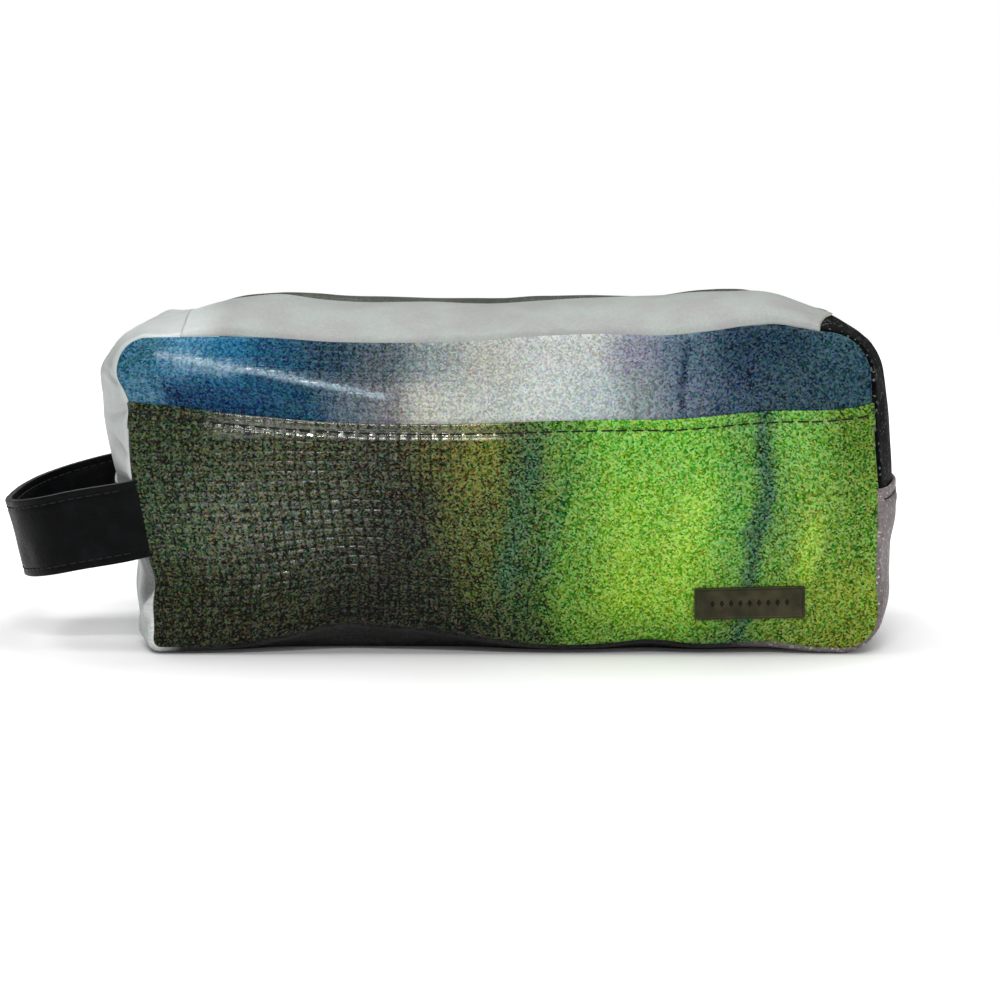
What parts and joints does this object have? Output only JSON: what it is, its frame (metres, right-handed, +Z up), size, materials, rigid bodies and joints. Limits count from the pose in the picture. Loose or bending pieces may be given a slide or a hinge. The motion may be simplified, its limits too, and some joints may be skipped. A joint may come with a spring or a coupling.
{
  "type": "toiletry bag",
  "caption": "Boxy zipped toiletry bag of printed vinyl, with a lapped front seam, a metal plate and a leather carrying loop on its left end.",
  "frame": {"origin": "on the floor, under the middle of the bag's body, halfway between its end seams and halfway between its front and back seams", "axes": "+X to the right as seen from the front (the leather loop is at -X), +Y to the back, +Z up"},
  "size_m": [0.3077, 0.121, 0.118],
  "materials": {
    "blue_print_vinyl": "glossy printed scrim vinyl",
    "green_print_vinyl": "glossy printed scrim vinyl",
    "olive_print_vinyl": "glossy printed scrim vinyl",
    "white_vinyl": "satin scrim vinyl",
    "black_print_vinyl": "glossy printed scrim vinyl",
    "taupe_print_vinyl": "satin printed scrim vinyl",
    "grey_print_vinyl": "satin printed scrim vinyl",
    "lining_cloth": "plain woven nylon",
    "binding_tape": "ribbed woven tape",
    "nylon_coil": "black nylon coil",
    "black_thread": "bonded polyester thread",
    "black_leather": "fine pebbled grain with painted edges",
    "gunmetal": "dark bronze plating",
    "plated_steel": "plain plated steel"
  },
  "bodies": {
    "bag": {"front_upper_panel": "blue_print_vinyl", "front_lower_panel": "green_print_vinyl", "back_panel": "olive_print_vinyl", "left_end_panel": "white_vinyl", "right_end_panel": "black_print_vinyl", "lower_gusset": "taupe_print_vinyl", "front_lining": "lining_cloth", "back_lining": "lining_cloth", "gusset_lining": "lining_cloth", "front_seam_binding": "binding_tape", "back_seam_binding": "binding_tape", "name_plate": "gunmetal", "name_plate_backing": "plated_steel", "front_topstitching": "black_thread", "left_end_topstitching": "black_thread", "right_end_topstitching": "black_thread", "zip_bottom_stop": "gunmetal", "zip_top_stop": "gunmetal", "handle_front_end": "black_leather", "handle_back_end": "black_leather"},
    "top_front": {"top_front_strip": "grey_print_vinyl", "top_front_lining": "lining_cloth", "top_front_topstitching": "black_thread", "zip_tape_front": "binding_tape", "zip_coil_front": "nylon_coil"},
    "top_back": {"top_back_strip": "olive_print_vinyl", "top_back_lining": "lining_cloth", "top_back_topstitching": "black_thread", "zip_tape_back": "binding_tape", "zip_coil_back": "nylon_coil"},
    "slider": {"zip_slider": "gunmetal"},
    "puller": {"zip_puller": "gunmetal"},
    "handle": {"handle_outer_strap": "black_leather", "handle_inner_strap": "black_leather", "handle_upper_stitching": "black_thread", "handle_lower_stitching": "black_thread"}
  },
  "joints": [
    {"name": "zip_slide", "type": "slide", "parent": "bag", "child": "slider", "axis": [1, 0, 0], "range_m": [-0.156, 0]},
    {"name": "top_front_open", "type": "hinge", "parent": "bag", "child": "top_front", "pos_m": [0, -0.0529, 0.109], "axis": [1, 0, 0], "range_deg": [0, 50], "deforming": ["zip_tape_front", "zip_coil_front"]},
    {"name": "top_back_open", "type": "hinge", "parent": "bag", "child": "top_back", "pos_m": [0, 0.0541, 0.109], "axis": [-1, 0, 0], "range_deg": [0, 50], "deforming": ["zip_tape_back", "zip_coil_back"]},
    {"name": "puller_flip", "type": "hinge", "parent": "slider", "child": "puller", "pos_m": [0.079, 0, 0.1156], "axis": [0, 1, 0], "range_deg": [0, 170]},
    {"name": "handle_swing", "type": "hinge", "parent": "bag", "child": "handle", "pos_m": [-0.127, 0, 0.0465], "axis": [0, 1, 0], "range_deg": [-20, 35], "stiffness_Nm_per_rad": 0.05}
  ],
  "couplings": [
    {"joint": "top_front_open", "follows": "zip_slide", "rad_per_m": -5.59},
    {"joint": "top_back_open", "follows": "zip_slide", "rad_per_m": -5.59}
  ]
}
